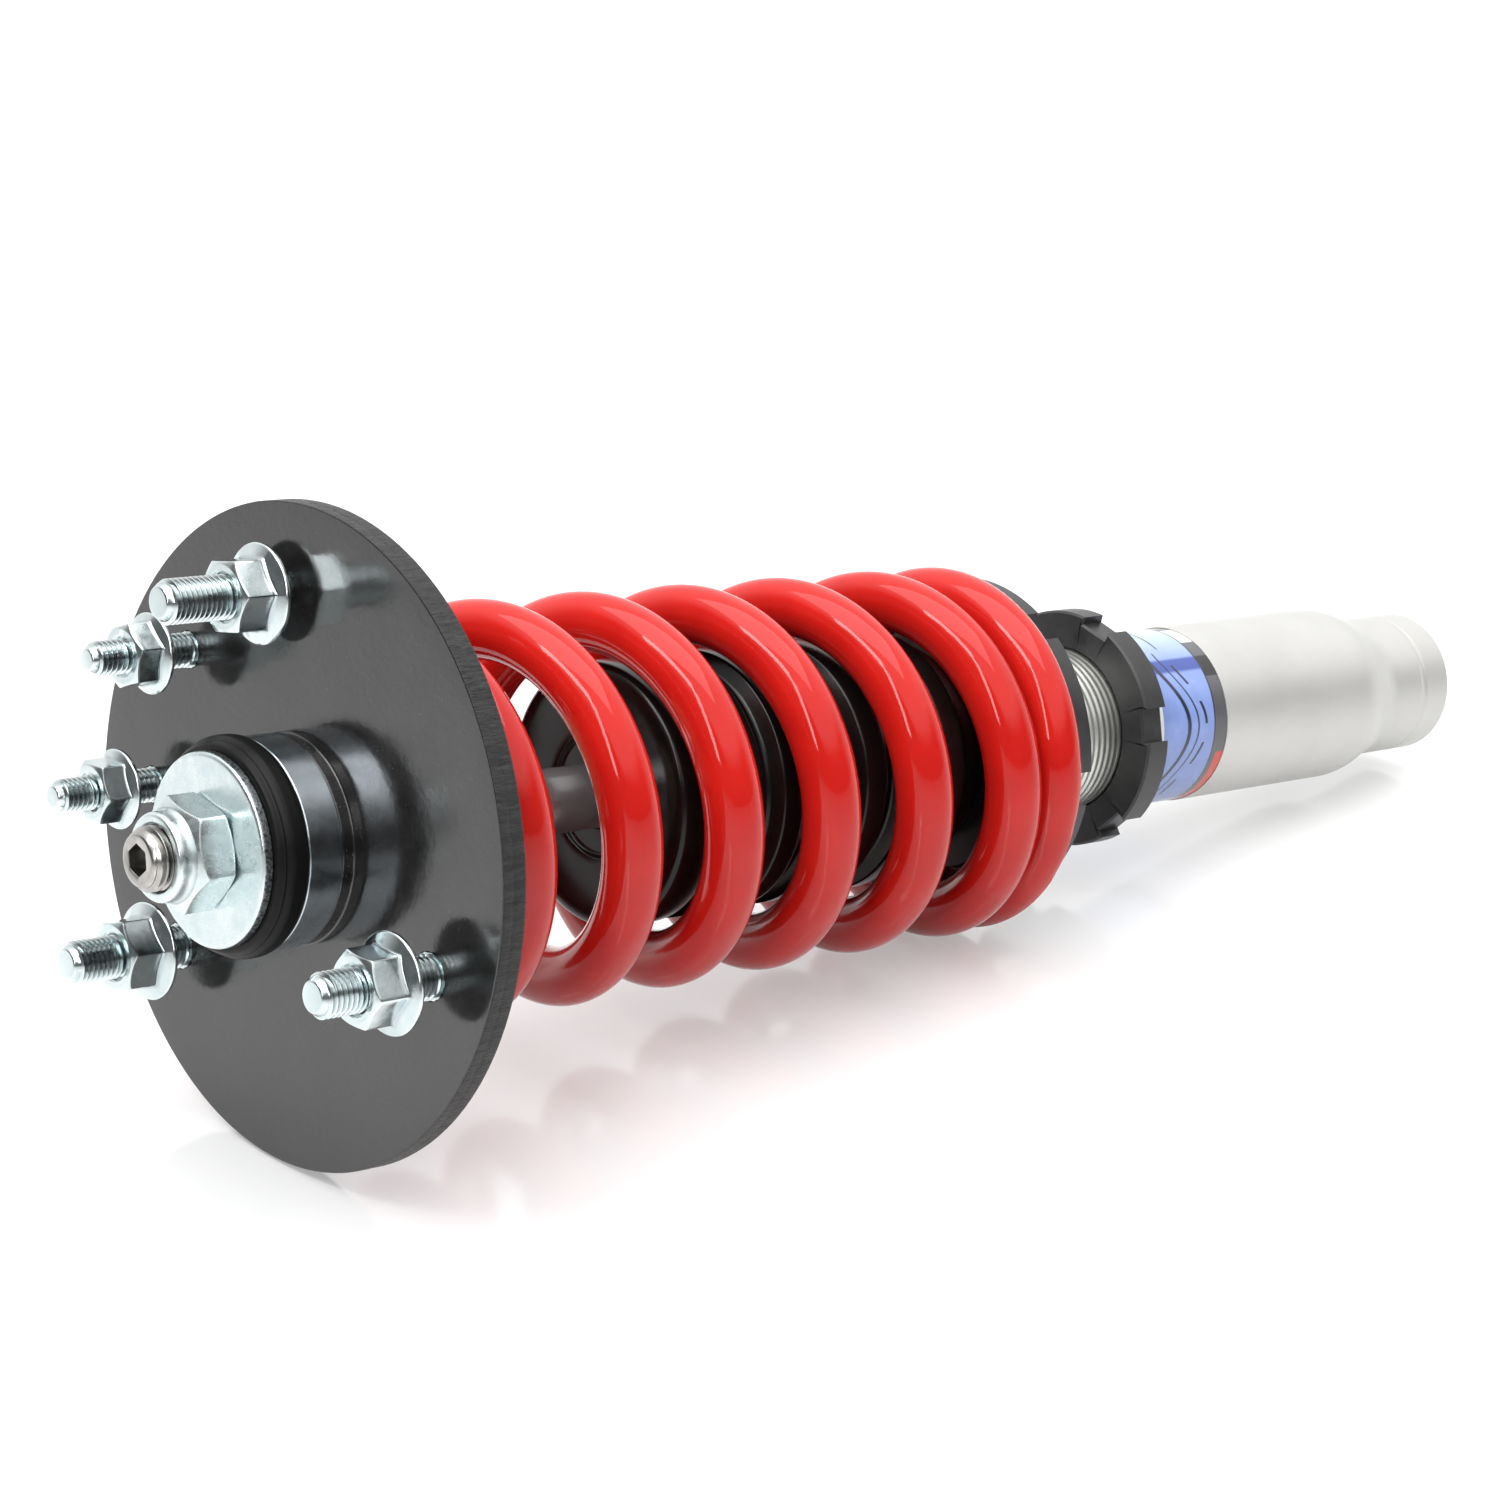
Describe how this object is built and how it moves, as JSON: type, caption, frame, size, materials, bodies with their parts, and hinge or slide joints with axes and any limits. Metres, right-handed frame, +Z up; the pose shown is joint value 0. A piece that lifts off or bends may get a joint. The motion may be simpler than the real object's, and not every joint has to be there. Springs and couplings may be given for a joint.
{
  "type": "coilover",
  "caption": "Coilover strut: studded top-mount plate on a rubber bush, coil spring over a booted twin-tube damper, threaded spring perch, lock ring and clamp-in lower sleeve.",
  "frame": {"origin": "centre of the top plate's upper face, which is the centre of the main stud circle", "axes": "+Z up along the damper's axis, the way the studs point; -X towards the single stud opposite the pair of small studs"},
  "size_m": [0.144, 0.144, 0.4133],
  "materials": {
    "black_coated_steel": "semi-gloss black coating on laser-cut plate",
    "zinc_plate": "bright blue-white zinc plating",
    "black_rubber": "smooth moulded black rubber",
    "boot_rubber": "soft satin moulded rubber",
    "bare_steel": "turned steel",
    "rod_steel": "hard-chromed and ground; bare turned thread",
    "red_powder_coat": "gloss red powder coat",
    "black_ring_finish": "satin black anodised",
    "silver_thread": "bright zinc-nickel plated thread",
    "silver_coat": "satin silver-grey coat",
    "printed_label": "gloss printed film",
    "bump_foam": "closed-cell polyurethane foam",
    "sintered_iron": "machined sintered iron",
    "bronze_liner": "bronze-backed liner",
    "ptfe_band": "filled PTFE"
  },
  "bodies": {
    "top_mount": {"top_plate": "black_coated_steel", "mount_studs_large": "zinc_plate", "mount_studs_small": "zinc_plate", "flange_nuts_large": "zinc_plate", "flange_nuts_small": "zinc_plate", "bush_housing": "zinc_plate", "upper_bush": "black_rubber", "lower_bush": "black_rubber", "bush_sleeve": "bare_steel", "top_washer": "zinc_plate", "lower_washer": "zinc_plate", "rod_nut": "zinc_plate", "piston_rod": "rod_steel", "bump_stop": "bump_foam", "rebound_stop": "bare_steel", "compression_shims": "bare_steel", "piston": "sintered_iron", "piston_band": "ptfe_band", "rebound_shims": "bare_steel", "piston_nut": "zinc_plate"},
    "spring_group": {"spring_seat_upper": "black_rubber", "coil_spring": "red_powder_coat"},
    "spring_base": {"slip_ring": "bare_steel"},
    "perch": {"spring_perch": "black_ring_finish"},
    "damper": {"threaded_body": "silver_thread", "body_cap": "bare_steel", "rod_seal": "black_rubber", "rod_guide": "sintered_iron", "guide_bush": "bronze_liner", "guide_o_ring": "black_rubber", "inner_cylinder": "bare_steel", "base_valve": "sintered_iron", "dust_boot": "boot_rubber"},
    "sleeve": {"lower_sleeve": "silver_coat", "end_plug": "silver_coat", "sleeve_label": "printed_label"},
    "lock": {"lock_ring": "black_ring_finish"}
  },
  "joints": [
    {"name": "mount_swivel", "type": "hinge", "parent": "top_mount", "child": "spring_group", "pos_m": [0, 0, 0], "axis": [0, 0, 1], "continuous": true},
    {"name": "damper_stroke", "type": "slide", "parent": "spring_group", "child": "spring_base", "axis": [0, 0, 1], "range_m": [0, 0.066], "stiffness_N_per_m": 80000, "springref_m": -0.005, "deforming": ["coil_spring", "dust_boot"]},
    {"name": "perch_turn", "type": "hinge", "parent": "spring_base", "child": "perch", "pos_m": [0, 0, -0.2], "axis": [0, 0, 1], "range_deg": [-2880, 0]},
    {"name": "ride_height", "type": "slide", "parent": "spring_base", "child": "damper", "axis": [0, 0, 1], "range_m": [0, 0.016]},
    {"name": "sleeve_height", "type": "slide", "parent": "damper", "child": "sleeve", "axis": [0, 0, 1], "range_m": [-0.03, 0.012]},
    {"name": "lock_ring_turn", "type": "hinge", "parent": "sleeve", "child": "lock", "pos_m": [0, 0, -0.243], "axis": [0, 0, 1], "range_deg": [-5400, 2160]}
  ],
  "couplings": [
    {"joint": "perch_turn", "follows": "ride_height", "rad_per_m": -3141.6},
    {"joint": "lock_ring_turn", "follows": "sleeve_height", "rad_per_m": 3141.6}
  ]
}
